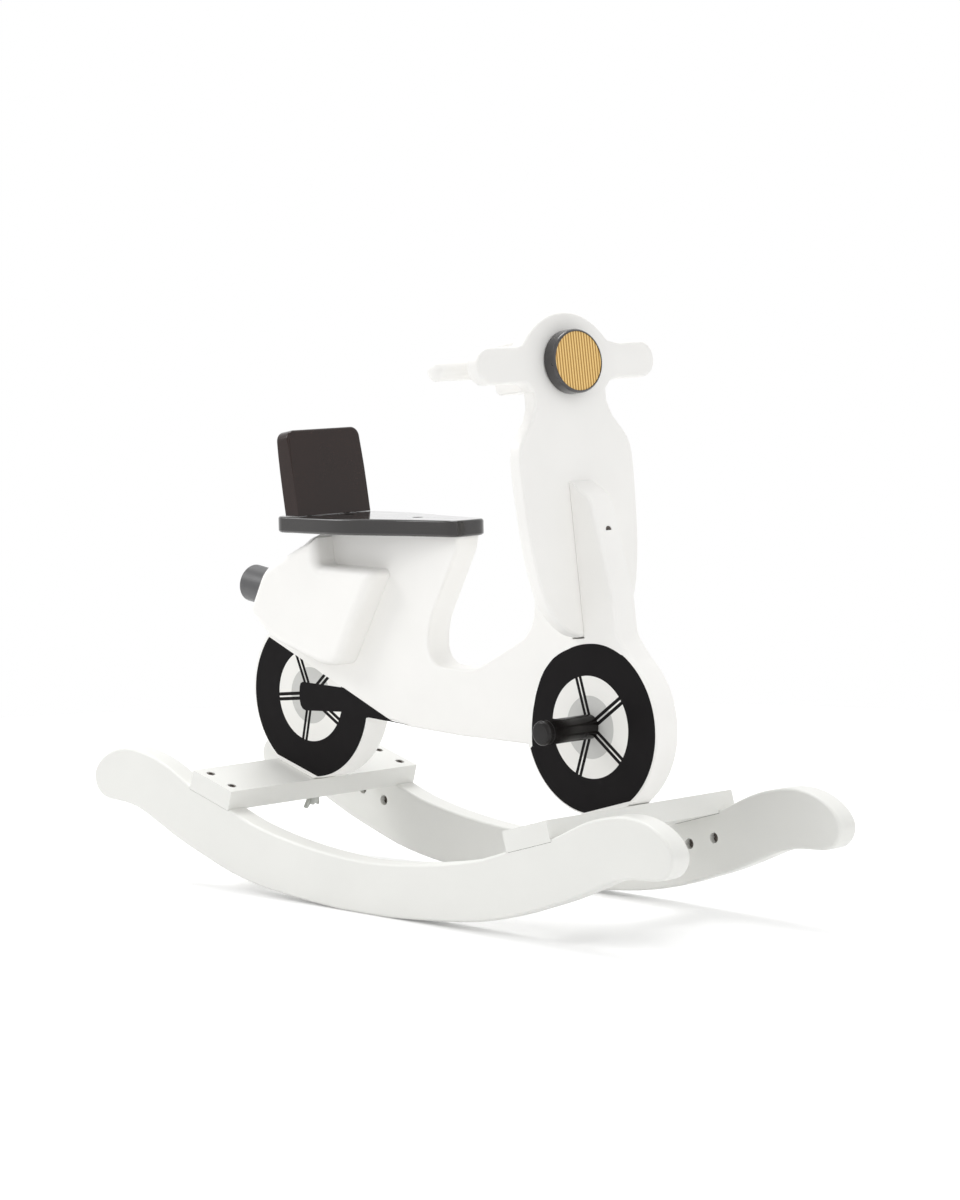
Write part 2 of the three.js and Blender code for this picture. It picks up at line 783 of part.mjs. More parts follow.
// Screws that hold the shield

piece("nose_screw", noseScrew(smallScrew(noseScrewLength)), darkSteel);
["lower", "upper"].forEach((end, i) => (
  piece(`${end}_shield_screw`, shieldScrews(smallScrew(shieldScrewLength))[i], zincSteel)));

// Handle

const halfHandle = roundedRod(
  handleDiameter / 2, handleLength / 2, handleDiameter / 2, handleDomeLength, 2 * smallRoundSides);
const handleRod = join([
  halfHandle.clone().rotateX(Math.PI / 2),
  halfHandle.clone().rotateX(-Math.PI / 2),
]).translate(handleAt.x, 0, handleAt.y);
piece("handlebar", cut(handleRod, [handleScrew(smallHole(handleScrewLength))]), whitePaint);
piece("handlebar_screw", handleScrew(smallScrew(handleScrewLength)), zincSteel);

// Seat and backrest

scooter.add(seatFrame);
const halfSeat = seatWidth / 2;
const seatSide = seatShares.map(([alongShare, acrossShare]) => (
  point(-seatRearReach + alongShare * seatLength, -acrossShare * halfSeat)));
const seatRear = arc(-seatRearReach + seatCornerRadius, -halfSeat + seatCornerRadius, seatCornerRadius,
  -Math.PI, -Math.PI / 2);
const seatRightEdge = [...seatRear, ...smooth(seatSide)];
const seatOutline = [
  ...seatRightEdge,
  ...seatRightEdge.slice(0, -1).reverse().map((p) => point(p.x, -p.y)),
];

// X runs forward across the backrest's thickness, Z up its slope, from its front lower edge
const backrestFrame = new THREE.Group();
backrestFrame.position.set(-backrestReach, 0, seatThickness + seam);
backrestFrame.rotation.y = radians(seatTilt) - radians(backrestLean);
seatFrame.add(backrestFrame);
backrestFrame.updateMatrixWorld(true);

function backrestScrews(make) {
  const below = (seatThickness + seam) / Math.cos(radians(backrestLean));
  return sides.map(([, side]) => make()
    .rotateX(Math.PI)
    .translate(-backrestThickness / 2, side * backrestScrewSpacing / 2, screwSink - below)
    .applyMatrix4(backrestFrame.matrix));
}

function inSeatFrame(geometry) {
  return geometry.applyMatrix4(seatFrame.matrixWorld.clone().invert());
}

piece("seat", cut(flatPlate(seatOutline, seatThickness), [
  ...seatScrews(seatHole).map(inSeatFrame),
  ...backrestScrews(smallHole(backrestScrewLength)),
]), blackGloss, seatFrame);

const backrestOutline = rounded([
  [-backrestWidth / 2, -overrun, 0],
  [backrestWidth / 2, -overrun, 0],
  [backrestWidth / 2, backrestHeight, backrestCornerRadius],
  [-backrestWidth / 2, backrestHeight, backrestCornerRadius],
]);
const backrestPlate = uprightPlate(backrestOutline, backrestThickness)
  .rotateZ(Math.PI / 2)
  .translate(-backrestThickness / 2, 0, 0)
  .applyMatrix4(backrestFrame.matrix);
const seatSlab = new THREE.BoxGeometry(seatLength, seatWidth, seatThickness + overrun)
  .translate(-seatRearReach + seatLength / 2, 0, seatThickness + seam - (seatThickness + overrun) / 2);
piece("backrest", cut(backrestPlate, [
  seatSlab,
  ...backrestScrews(smallHole(backrestScrewLength)),
]), blackGloss, seatFrame);

["front", "rear"].forEach((end, i) => piece(`${end}_seat_screw`, seatScrews(seatScrew)[i], darkSteel));
sides.forEach(([sideName], i) => {
  const screw = backrestScrews(smallScrew(backrestScrewLength))[i];
  piece(`${sideName}_backrest_screw`, screw, zincSteel, seatFrame);
});

// Exhaust

piece("exhaust_pipe", atExhaustSeat(
  roundedRod(exhaustDiameter / 2, exhaustLength, exhaustEdgeRadius, exhaustEdgeRadius),
), greyPaint);

// Footpegs

function footpeg(side) {
  const peg = roundedRod(footpegDiameter / 2, footpegLength, footpegEdgeRadius, footpegEdgeRadius)
    .translate(0, 0, halfBoard + seam)
    .rotateX(-side * Math.PI / 2)
    .translate(wheelReach, 0, wheelCentreHeight);
  return cut(peg, [footpegStud(seam)]);
}

piece("right_footpeg", footpeg(-1), blackSatin);
piece("left_footpeg", footpeg(1), blackSatin);
piece("footpeg_stud", footpegStud(0), zincSteel);

export default scooter;
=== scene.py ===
import math
import bpy
import bmesh
import numpy
from mathutils import Matrix, Vector, geometry


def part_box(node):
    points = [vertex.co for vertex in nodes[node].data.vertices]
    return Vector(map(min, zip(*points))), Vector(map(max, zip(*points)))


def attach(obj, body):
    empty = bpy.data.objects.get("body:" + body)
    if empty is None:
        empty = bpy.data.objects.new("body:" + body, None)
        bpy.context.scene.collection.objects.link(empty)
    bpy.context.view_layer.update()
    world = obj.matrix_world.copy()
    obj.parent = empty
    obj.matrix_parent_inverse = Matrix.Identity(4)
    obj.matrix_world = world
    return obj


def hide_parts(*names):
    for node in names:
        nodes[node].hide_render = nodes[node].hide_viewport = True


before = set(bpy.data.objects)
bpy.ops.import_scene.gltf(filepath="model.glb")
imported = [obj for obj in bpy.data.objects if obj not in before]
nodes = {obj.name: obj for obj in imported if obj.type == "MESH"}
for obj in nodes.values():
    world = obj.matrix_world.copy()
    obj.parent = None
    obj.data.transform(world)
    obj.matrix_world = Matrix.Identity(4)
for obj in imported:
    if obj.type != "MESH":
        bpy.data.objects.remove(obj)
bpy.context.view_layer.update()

scene = bpy.context.scene
MM = 0.001
BODY = "frame"
ENDS = (("front", 1), ("rear", -1))
ROWS = ("inner", "outer")
HANDS = (("right", -1), ("left", 1))


# Materials

COAT_ROUGHNESS = 0.08
# Noise scales of paint and metal
TONE_SCALE = 14
GLOSS_SCALE = 60
PEEL_SCALE = 900
SWELL_SCALE = 90
CLOUD_SCALE = 160
GRAIN_SCALE = 700


def new_material(name):
    material = bpy.data.materials.new(name)
    material.use_nodes = True
    return material, material.node_tree, material.node_tree.nodes["Principled BSDF"]


def place(tree, kind, **sockets):
    node = tree.nodes.new(kind)
    for key, value in sockets.items():
        node.inputs[key.replace("_", " ")].default_value = value
    return node


def noise(tree, scale, detail=3.0, stretch=(1, 1, 1), roughness=0.5):
    coordinates = tree.nodes.new("ShaderNodeTexCoord")
    mapping = place(tree, "ShaderNodeMapping", Scale=stretch)
    texture = place(tree, "ShaderNodeTexNoise", Scale=scale, Detail=detail, Roughness=roughness)
    tree.links.new(coordinates.outputs["Object"], mapping.inputs["Vector"])
    tree.links.new(mapping.outputs["Vector"], texture.inputs["Vector"])
    return texture.outputs["Fac"]


def ramp(tree, factor, stops):
    node = tree.nodes.new("ShaderNodeValToRGB")
    tree.links.new(factor, node.inputs["Fac"])
    elements = node.color_ramp.elements
    while len(elements) < len(stops):
        elements.new(0.5)
    for element, (position, colour) in zip(elements, stops):
        element.position = position
        element.color = (*colour, 1)
    return node.outputs["Color"]


def between(tree, factor, low, high):
    # From low to high over the middle of a noise's range
    return ramp(tree, factor, [(0.3, low), (0.7, high)])


def grey(level):
    return (level,) * 3


def linear(red, green, blue):
    def channel(value):
        value /= 255
        return value / 12.92 if value <= 0.04045 else ((value + 0.055) / 1.055) ** 2.4
    return (channel(red), channel(green), channel(blue))


def shaded(colour, share):
    return tuple(value * share for value in colour)


def add_bump(tree, shader, layers):
    # Each layer is a height and its depth in millimetres
    normal = None
    for height, depth in layers:
        bump = place(tree, "ShaderNodeBump", Strength=1.0, Distance=depth * MM)
        tree.links.new(height, bump.inputs["Height"])
        if normal:
            tree.links.new(normal, bump.inputs["Normal"])
        normal = bump.outputs["Normal"]
    tree.links.new(normal, shader.inputs["Normal"])


def painted(name, colour, roughness, spread=0.06, mottle=0.03, peel=0.012, coat=0.0,
            gloss_level=0.5, coat_index=1.3):
    # Sprayed paint: a slow change of tone, uneven gloss and fine orange peel
    material, tree, shader = new_material(name)
    tone = between(tree, noise(tree, TONE_SCALE), shaded(colour, 1 - mottle), colour)
    tree.links.new(tone, shader.inputs["Base Color"])
    sheen = noise(tree, GLOSS_SCALE, detail=4)
    gloss = between(tree, sheen, grey(roughness - spread), grey(roughness + spread))
    tree.links.new(gloss, shader.inputs["Roughness"])
    add_bump(tree, shader, [
        (noise(tree, PEEL_SCALE, detail=2), peel),
        (noise(tree, SWELL_SCALE, detail=2), peel * 3)])
    shader.inputs["Coat Weight"].default_value = coat
    shader.inputs["Coat Roughness"].default_value = COAT_ROUGHNESS
    shader.inputs["Coat IOR"].default_value = coat_index
    shader.inputs["Specular IOR Level"].default_value = gloss_level
    return material


def metal(name, colour, roughness):
    material, tree, shader = new_material(name)
    grain = noise(tree, GRAIN_SCALE, detail=4)
    tone = between(tree, noise(tree, CLOUD_SCALE), shaded(colour, 0.8), colour)
    tree.links.new(tone, shader.inputs["Base Color"])
    gloss = between(tree, grain, grey(roughness - 0.08), grey(roughness + 0.1))
    tree.links.new(gloss, shader.inputs["Roughness"])
    shader.inputs["Metallic"].default_value = 1.0
    add_bump(tree, shader, [(grain, 0.01)])
    return material


def beech_wood():
    material, tree, shader = new_material("beech")
    grain = noise(tree, 90, detail=5, stretch=(6, 0.5, 6), roughness=0.6)
    tree.links.new(ramp(tree, grain, [
        (0.35, linear(176, 132, 86)), (0.65, linear(214, 176, 128)),
    ]), shader.inputs["Base Color"])
    shader.inputs["Roughness"].default_value = 0.65
    add_bump(tree, shader, [(grain, 0.05)])
    return material


white = painted("white_satin", linear(250, 249, 246), 0.42)
# A greyer copy of the white paint for the rockers and planks: painted shade for the lesser light low down
# near the floor
white_with_painted_shade = painted("white_with_painted_shade", linear(232, 232, 228), 0.42)
black_gloss = painted("black_gloss", linear(30, 26, 24), 0.2, spread=0.04, mottle=0.2, peel=0.008,
                      coat=1.0, gloss_level=0.3, coat_index=1.5)
brown_black = painted("brown_black_gloss", linear(42, 27, 23), 0.24, spread=0.04, mottle=0.2, peel=0.008,
                      coat=1.0, gloss_level=0.1)
black_satin = painted("black_satin", linear(18, 15, 14), 0.24, spread=0.05, mottle=0.15, gloss_level=0.3)
tyre_black = painted("tyre_black", linear(22, 20, 21), 0.5, spread=0.05, mottle=0.1, peel=0.004,
                     gloss_level=0.08)
grey_satin = painted("grey_satin", linear(90, 90, 91), 0.36, spread=0.05, mottle=0.08, gloss_level=0.4)
lamp_grey = painted("lamp_grey", linear(52, 50, 51), 0.3, spread=0.04, mottle=0.1, peel=0.006,
                    coat=0.6, gloss_level=0.6)
# Painted shade: a flat dark for the gaps between the planks and the rockers
painted_gap_shade = painted("painted_gap_shade", linear(46, 43, 40), 0.9, spread=0.05, mottle=0.1, peel=0.01,
                    gloss_level=0.0)
rim_print = painted("rim_print", linear(243, 242, 238), 0.45, spread=0.05, mottle=0.02, peel=0.004)
hub_print = painted("hub_print", linear(201, 201, 198), 0.45, spread=0.05, mottle=0.04, peel=0.004)
zinc = metal("zinc_steel", linear(190, 192, 188), 0.34)
dark_steel = painted("dark_steel", linear(92, 84, 78), 0.4, mottle=0.1, peel=0.004)
beech = beech_wood()


# Places measured in the part's own frames, in millimetres unless a comment says metres

WHEEL_REACH = 189.5
WHEEL_HEIGHT = 183.3
HALF_BOARD = 15.0
PLANK_TILT = math.radians(16.1)
STAND = 80.4
PLANK_HALF = 29
PLANK_THICK = 20
ROCKER_INNER = 102
ROCKER_OUTER = 126
SHIELD_THICK = 15
SEAT_THICK = 16
SEAT_RISE = 166.1

# Frames in metres; the shield's has X across, Y up its face and Z out of it
SHIELD_LEAN = math.radians(7.36)
SHIELD = Matrix((
    (0, -math.sin(SHIELD_LEAN), math.cos(SHIELD_LEAN), 0.1834),
    (1, 0, 0, 0),
    (0, math.cos(SHIELD_LEAN), math.sin(SHIELD_LEAN), 0.265),
    (0, 0, 0, 1),
))
SEAT = Matrix.Translation((0, 0, 0.3494)) @ Matrix.Rotation(-math.radians(1.15), 4, "Y")


def plank_frame(side):
    x = side * (WHEEL_REACH + STAND * math.sin(PLANK_TILT))
    z = WHEEL_HEIGHT - STAND * math.cos(PLANK_TILT)
    return Matrix.Translation((x * MM, 0, z * MM)) @ Matrix.Rotation(-side * PLANK_TILT, 4, "Y")


def seen_from(matrix, point):
    return matrix.inverted() @ (point * MM) / MM


# Mesh pieces

# How near two numbers in millimetres lie when they mean one place
TOUCH = 0.05
ROUND_SEGMENTS = 4
SHARP_EDGE = math.radians(50)
QUARTER_STEPS = 6
# A cutter rises this far over the face it cuts, in millimetres
CUTTER_RISE = 1
# Steps of an outline that are shorter than this, in metres, are left out
SHORTEST_STEP = 1.2e-4


def added(name, data):
    obj = bpy.data.objects.new(name, data)
    scene.collection.objects.link(obj)
    return obj


def made_mesh(name, bm):
    mesh = bpy.data.meshes.new(name)
    bm.to_mesh(mesh)
    bm.free()
    return mesh


def dress(mesh, material):
    mesh.materials.clear()
    mesh.materials.append(material)


def finished(name, mesh, material, body=BODY, stands_for=()):
    piece = added(name, mesh)
    dress(mesh, material)
    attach(piece, body)
    if stands_for:
        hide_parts(*stands_for)


def evaluated(obj):
    graph = bpy.context.evaluated_depsgraph_get()
    return bpy.data.meshes.new_from_object(
        obj.evaluated_get(graph), preserve_all_data_layers=True, depsgraph=graph)


def smoothed(mesh, angle=35):
    # Smooth faces with sharp edges kept, and normals led by the large flat faces
    bm = bmesh.new()
    bm.from_mesh(mesh)
    for face in bm.faces:
        face.smooth = True
    for edge in bm.edges:
        sharp = len(edge.link_faces) != 2 or edge.calc_face_angle(0) > math.radians(angle)
        edge.smooth = not sharp
    bm.to_mesh(mesh)
    bm.free()
    holder = added("holder", mesh)
    modifier = holder.modifiers.new("normals", "WEIGHTED_NORMAL")
    modifier.keep_sharp = True
    modifier.weight = 90
    applied = evaluated(holder)
    bpy.data.objects.remove(holder)
    return applied


def cut_away(holder, cutters):
    for cutter in cutters:
        boolean = holder.modifiers.new("recess", "BOOLEAN")
        boolean.operation = "DIFFERENCE"
        boolean.solver = "EXACT"
        boolean.object = cutter


def applied_to(holder, cutters):
    # The holder's mesh with its modifiers, which then no longer needs its helpers
    mesh = evaluated(holder)
    for obj in (holder, *cutters):
        bpy.data.objects.remove(obj)
    return mesh


def cad_mesh(node):
    bm = bmesh.new()
    bm.from_mesh(nodes[node].data)
    bmesh.ops.remove_doubles(bm, verts=bm.verts, dist=2e-6)
    return bm


def merged(node):
    # A copy of the CAD mesh with its flat faces made whole
    bm = cad_mesh(node)
    bmesh.ops.dissolve_limit(bm, angle_limit=math.radians(0.5), verts=bm.verts, edges=bm.edges,
                             delimit={"NORMAL"})
    return bm


def outline(node, level):
    # The longest rim of the flat side at this Y, in order, without its shortest steps
    bm = cad_mesh(node)
    neighbours = {}
    for edge in bm.edges:
        flat = [face for face in edge.link_faces
                if abs(face.normal.y) > 0.999 and abs(face.verts[0].co.y - level * MM) < 1e-5]
        if len(flat) == 1:
            first, second = edge.verts
            neighbours.setdefault(first, []).append(second)
            neighbours.setdefault(second, []).append(first)
    loops = []
    while neighbours:
        start = min(neighbours, key=lambda vert: vert.co.to_tuple(6))
        loop = [start]
        while True:
            following = [vert for vert in neighbours.pop(loop[-1]) if vert in neighbours]
            if not following:
                break
            loop.append(following[0])
        loops.append([(vert.co.x, vert.co.z) for vert in loop])
    bm.free()
    longest = max(loops, key=lambda loop: sum(math.dist(*pair) for pair in zip(loop, loop[1:])))
    return [at for i, at in enumerate(longest) if math.dist(at, longest[i - 1]) > SHORTEST_STEP]


def plate(node, low, high):
    # The CAD board's outline between two levels of Y, without the bores that other pieces fill
    bm = bmesh.new()
    rim = outline(node, high)
    near, far = ([bm.verts.new((x, level * MM, z)) for x, z in rim] for level in (low, high))
    bm.faces.new(near)
    bm.faces.new(far)
    for i in range(len(rim)):
        bm.faces.new((near[i - 1], near[i], far[i], far[i - 1]))
    bmesh.ops.recalc_face_normals(bm, faces=bm.faces)
    return bm


def rounded_board(node, bm, radius, chosen, material, cutters=()):
    # chosen(first, second) says whether the sharp edge between two corners is rounded
    weight = bm.edges.layers.float.new("bevel_weight_edge")
    for edge in bm.edges:
        if len(edge.link_faces) != 2 or edge.calc_face_angle(0) < SHARP_EDGE:
            continue
        first, second = (vert.co / MM for vert in edge.verts)
        edge[weight] = float(chosen(first, second))
    holder = added("holder", made_mesh(node + "_rounded", bm))
    bevel = holder.modifiers.new("round", "BEVEL")
    bevel.limit_method = "WEIGHT"
    bevel.width = radius * MM
    bevel.segments = ROUND_SEGMENTS
    bevel.use_clamp_overlap = False
    bevel.miter_outer = "MITER_SHARP"
    cut_away(holder, cutters)
    mesh = smoothed(applied_to(holder, cutters))
    finished(node + "_shown", mesh, material, stands_for=(node,))


def axis_frame(node):
    # Z runs along the fastener and out of its head, from the head's face
    points = numpy.array([vert.co for vert in nodes[node].data.vertices])
    centre = points.mean(axis=0)
    axis = numpy.linalg.eigh(numpy.cov((points - centre).T))[1][:, 2]
    heights = (points - centre) @ axis
    radii = numpy.linalg.norm(points - centre - numpy.outer(heights, axis), axis=1)
    if heights[radii.argmax()] < 0:
        axis, heights = -axis, -heights
    axis = Vector(axis)
    turned = axis.to_track_quat("Z", "Y").to_matrix().to_4x4()
    return Matrix.Translation(Vector(centre) + axis * float(heights.max())) @ turned


def circle(radius, sides):
    return [(
        radius * math.cos(2 * math.pi * i / sides),
        radius * math.sin(2 * math.pi * i / sides)) for i in range(sides)]


def prism(points, depth, matrix):
    # A cutter from this depth under the matrix's own level to a little above it
    bm = bmesh.new()
    bottom = [bm.verts.new((x * MM, y * MM, -depth * MM)) for x, y in points]
    top = [bm.verts.new((x * MM, y * MM, CUTTER_RISE * MM)) for x, y in points]
    bm.faces.new(bottom)
    bm.faces.new(top)
    for i, corner in enumerate(bottom):
        bm.faces.new((corner, bottom[i - 1], top[i - 1], top[i]))
    bmesh.ops.recalc_face_normals(bm, faces=bm.faces)
    bmesh.ops.transform(bm, matrix=matrix, verts=bm.verts)
    return added("cutter", made_mesh("cutter", bm))


def lathe(name, profile, matrix, material, stands_for, sides=64):
    # profile runs (radius, height) in millimetres, from axis to axis
    bm = bmesh.new()
    rings = []
    for radius, height in profile:
        corners = circle(radius * MM, sides) if radius > 1e-6 else [(0, 0)]
        rings.append([bm.verts.new((x, y, height * MM)) for x, y in corners])
    for low, high in zip(rings, rings[1:]):
        for i in range(sides):
            j = (i + 1) % sides
            if len(low) == 1:
                bm.faces.new((low[0], high[j], high[i]))
            elif len(high) == 1:
                bm.faces.new((low[i], low[j], high[0]))
            else:
                bm.faces.new((low[i], low[j], high[j], high[i]))
    bmesh.ops.recalc_face_normals(bm, faces=bm.faces)
    bmesh.ops.transform(bm, matrix=matrix, verts=bm.verts)
    finished(name, smoothed(made_mesh(name, bm), angle=40), material, stands_for=stands_for)


def quarter(centre_radius, centre_height, size, end=90):
    # A rounded edge on a profile, without its first point
    return [(
        centre_radius + size * math.cos(math.radians(end * i / QUARTER_STEPS)),
        centre_height + size * math.sin(math.radians(end * i / QUARTER_STEPS)),
    ) for i in range(1, QUARTER_STEPS + 1)]


def rod_profile(radius, length, rounding, groove=()):
    # A rod from its foot to its rounded end
    return [
        (0, 0), (radius, 0), *groove, (radius, length - rounding),
        *quarter(radius - rounding, length - rounding, rounding), (0, length),
    ]


# Boards

BOARD_ROUND = 2.8
SHIELD_ROUND = 3.0
ROCKER_ROUND = 3.0
PLANK_ROUND = 1.8
SEAT_ROUND = 2.6

# Where the board's rim stays sharp: the shield's slot, the planks, the seat and the exhaust
SLOT_BACK = -16.5
SLOT_FRONT = 1.5
SLOT_FOOT = -2
PLANK_NEAR = 1.5
PLANK_REACH = 60
SEAT_UNDER = -1
SEAT_FRONT = 40
EXHAUST_BACK = -205
EXHAUST_LOW = 262
EXHAUST_HIGH = 300

SCREW_HOLE_RADIUS = 4.05
SCREW_HOLE_DEPTH = 2.4


def on_face(level):
    return lambda first, second: (
        abs(abs(first.y) - level) < TOUCH and abs(abs(second.y) - level) < TOUCH)


def board_edges(first, second):
    if not on_face(HALF_BOARD)(first, second):
        return False
    for point in (first, second):
        local = seen_from(SHIELD, point)
        if SLOT_BACK < local.z < SLOT_FRONT and local.y > SLOT_FOOT:
            return False
    middle = (first + second) / 2
    for side in (1, -1):
        local = seen_from(plank_frame(side), middle)
        if abs(local.z) < PLANK_NEAR and abs(local.x) < PLANK_REACH:
            return False
    local = seen_from(SEAT, middle)
    if local.z > SEAT_UNDER and local.x < SEAT_FRONT:
        return False
    return not (middle.x < EXHAUST_BACK and EXHAUST_LOW < middle.z < EXHAUST_HIGH)


def screw_hole(node):
    return prism(circle(SCREW_HOLE_RADIUS, 32), SCREW_HOLE_DEPTH, axis_frame(node))


rounded_board("scooter_board", plate("scooter_board", -HALF_BOARD, HALF_BOARD), BOARD_ROUND, board_edges,
              white, [screw_hole(node) for node in ("nose_screw", "handlebar_screw")])

# The shield stays sharp at the top of its slot and at the back of its head, over the handle's arm
SHIELD_MIDDLE = 8
SLOT_TOP_LOW = 80
SLOT_TOP_HIGH = 110
HEAD_HEIGHT = 220


def shield_edges(first, second):
    levels = []
    for point in (first, second):
        local = seen_from(SHIELD, point)
        levels.append(local.z)
        if abs(local.x) < SHIELD_MIDDLE and SLOT_TOP_LOW < local.y < SLOT_TOP_HIGH:
            return False
        if abs(local.x) < SHIELD_MIDDLE and local.y > HEAD_HEIGHT and local.z < -1:
            return False
    return (all(abs(z) < TOUCH for z in levels)
            or all(abs(z + SHIELD_THICK) < TOUCH for z in levels))


rounded_board("leg_shield", merged("leg_shield"), SHIELD_ROUND, shield_edges, white)


# Cowls

COWL_INNER = 15.1
COWL_OUTER = 42.3
COWL_ROUND = 9.0
RIM_STEP = 1.5
ROUND_STEPS = 9
# The least step along a ring of the round-over, and how far a point may stray from its inset
RING_STEP = 0.15
RING_SLACK = 0.01


def even_rim(node, level):
    # The outline anticlockwise, in short steps, with its outward normals
    rim = numpy.array(outline(node, level)) / MM
    following = numpy.roll(rim, -1, axis=0)
    if (rim[:, 0] * following[:, 1] - following[:, 0] * rim[:, 1]).sum() < 0:
        rim = rim[::-1]
        following = numpy.roll(rim, -1, axis=0)
    along = following - rim
    lengths = numpy.linalg.norm(along, axis=1)
    sides = numpy.stack((along[:, 1], -along[:, 0]), axis=1) / lengths[:, None]
    points, normals = [], []
    for i, (start, step, length) in enumerate(zip(rim, along, lengths)):
        points.append(start)
        normals.append(sides[i - 1] + sides[i])
        parts = math.ceil(length / RIM_STEP)
        for k in range(1, parts):
            points.append(start + step * k / parts)
            normals.append(sides[i])
    normals = numpy.array(normals)
    return numpy.array(points), normals / numpy.linalg.norm(normals, axis=1)[:, None]


def nearest_on_rim(points, rim):
    # Distance to the closed rim, and the closest place on it, of each point
    step = numpy.roll(rim, -1, axis=0) - rim
    offset = points[:, None, :] - rim[None, :, :]
    share = (offset * step).sum(axis=2) / (step * step).sum(axis=1)
    places = rim + step * numpy.clip(share, 0, 1)[:, :, None]
    gaps = numpy.linalg.norm(points[:, None, :] - places, axis=2)
    best = gaps.argmin(axis=1)
    rows = numpy.arange(len(points))
    return gaps[rows, best], places[rows, best]


def soft_plate(node, low, high, radius):
    # The CAD outline between two levels of Y, with a wide round-over on the outer rim
    way = math.copysign(1, high)
    rim, outward = even_rim(node, high)
    flat_points = [tuple(at) for at in rim]
    borders = [(i, (i + 1) % len(rim)) for i in range(len(rim))]
    for k in range(1, ROUND_STEPS + 1):
        inset = radius * (1 - math.cos(math.pi / 2 * k / ROUND_STEPS))
        ring = rim - outward * inset
        gaps = nearest_on_rim(ring, rim)[0]
        kept = []
        for at, gap in zip(ring, gaps):
            if gap > inset - RING_SLACK and (not kept or math.dist(at, kept[-1]) > RING_STEP):
                kept.append(tuple(at))
        first = len(flat_points)
        flat_points += kept
        borders += [(first + i, first + (i + 1) % len(kept)) for i in range(len(kept))]
    places, _, faces = geometry.delaunay_2d_cdt(
        [Vector(at) for at in flat_points], borders, [], 1, 1e-4)[:3]
    places = numpy.array([tuple(at) for at in places])
    gaps, closest = nearest_on_rim(places, rim)
    lean = numpy.clip(1 - gaps / radius, 0, 1)
    rise = numpy.sqrt(1 - lean ** 2)
    bm = bmesh.new()
    normals = []
    top = []
    for at, gap, near, tilt, up_share in zip(places, gaps, closest, lean, rise):
        level = high - way * radius * (1 - up_share)
        top.append(bm.verts.new((at[0] * MM, level * MM, at[1] * MM)))
        if gap < 1e-3:
            out = outward[numpy.linalg.norm(rim - at, axis=1).argmin()]
        else:
            out = (near - at) / gap
        normals.append((out[0] * tilt, way * up_share, out[1] * tilt))
    for face in faces:
        bm.faces.new([top[i] for i in face])
    base = []
    for at, out in zip(rim, outward):
        base.append(bm.verts.new((at[0] * MM, low * MM, at[1] * MM)))
        normals.append((out[0], 0, out[1]))
    order = [int(numpy.linalg.norm(places - at, axis=1).argmin()) for at in rim]
    for i in range(len(rim)):
        bm.faces.new((base[i - 1], base[i], top[order[i]], top[order[i - 1]]))
    bm.faces.new(base)
    bmesh.ops.recalc_face_normals(bm, faces=bm.faces)
    for face in bm.faces:
        face.smooth = True
    mesh = made_mesh(node + "_soft", bm)
    mesh.normals_split_custom_set_from_vertices(normals)
    finished(node + "_shown", mesh, white, stands_for=(node,))


for hand, side in HANDS:
    soft_plate(hand + "_cowl", side * COWL_INNER, side * COWL_OUTER, COWL_ROUND)


# Rockers and planks

# The rockers stay sharp where the planks are let in
RECESS_REACH = 31
RECESS_FLOOR = -22
POCKET_RADIUS = 5.1
POCKET_DEPTH = 19.1


def rocker_edges(first, second):
    if not (on_face(ROCKER_INNER)(first, second) or on_face(ROCKER_OUTER)(first, second)):
        return False
    middle = (first + second) / 2
    for side in (1, -1):
        local = seen_from(plank_frame(side), middle)
        if abs(local.x) < RECESS_REACH and local.z > RECESS_FLOOR:
            return False
    return True


def inner_face(x, z, side, level):
    # A frame on a rocker's inner side, its Z out of the wood
    return Matrix.Translation((x, side * level * MM, z)) @ Matrix.Rotation(side * math.pi / 2, 4, "X")


def nut_pockets(hand, side):
    # Round pockets from the rocker's inner face to just past each barrel nut
    pockets = []
    for end, _ in ENDS:
        for row in ROWS:
            low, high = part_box(f"{end}_{row}_{hand}_barrel_nut")
            x, z = (low[0] + high[0]) / 2, (low[2] + high[2]) / 2
            face = inner_face(x, z, side, ROCKER_INNER)
            pockets.append(prism(circle(POCKET_RADIUS, 48), POCKET_DEPTH, face))
    return pockets


# The rockers take the greyer white, which paints in their shade near the floor
for hand, side in HANDS:
    rounded_board(hand + "_rocker", plate(hand + "_rocker", side * ROCKER_OUTER, side * ROCKER_INNER),
                  ROCKER_ROUND, rocker_edges, white_with_painted_shade, nut_pockets(hand, side))


def plank_edges(side):
    def chosen(first, second):
        faces = []
        for point in (first, second):
            local = seen_from(plank_frame(side), point)
            faces.append((
                abs(abs(local.x) - PLANK_HALF) < TOUCH,
                abs(abs(local.y) - ROCKER_OUTER) < TOUCH,
                abs(local.z) < TOUCH or abs(local.z + PLANK_THICK) < TOUCH))
        return sum(a and b for a, b in zip(*faces)) == 2
    return chosen


# The planks take the greyer white, which paints in their shade near the floor
for end, side in ENDS:
    name = end + "_plank"
    rounded_board(name, merged(name), PLANK_ROUND, plank_edges(side), white_with_painted_shade)


# Seat and backrest

# The seat's slot for the board stays sharp
SEAT_SLOT_HALF = 12
SEAT_SLOT_END = 14
# The backrest is rounded above the seat, apart from its shortest steps
BACKREST_FOOT = 369
BACKREST_STEP = 0.2


def seat_edges(first, second):
    levels = [seen_from(SEAT, point).z for point in (first, second)]
    if max(levels) - min(levels) > TOUCH:
        return False
    middle = seen_from(SEAT, (first + second) / 2)
    if (abs(middle.y) < SEAT_SLOT_HALF and middle.x < SEAT_SLOT_END
            and (first - second).length < SEAT_SLOT_HALF):
        return False
    return abs(levels[0] - SEAT_THICK) < TOUCH or abs(levels[0]) < TOUCH


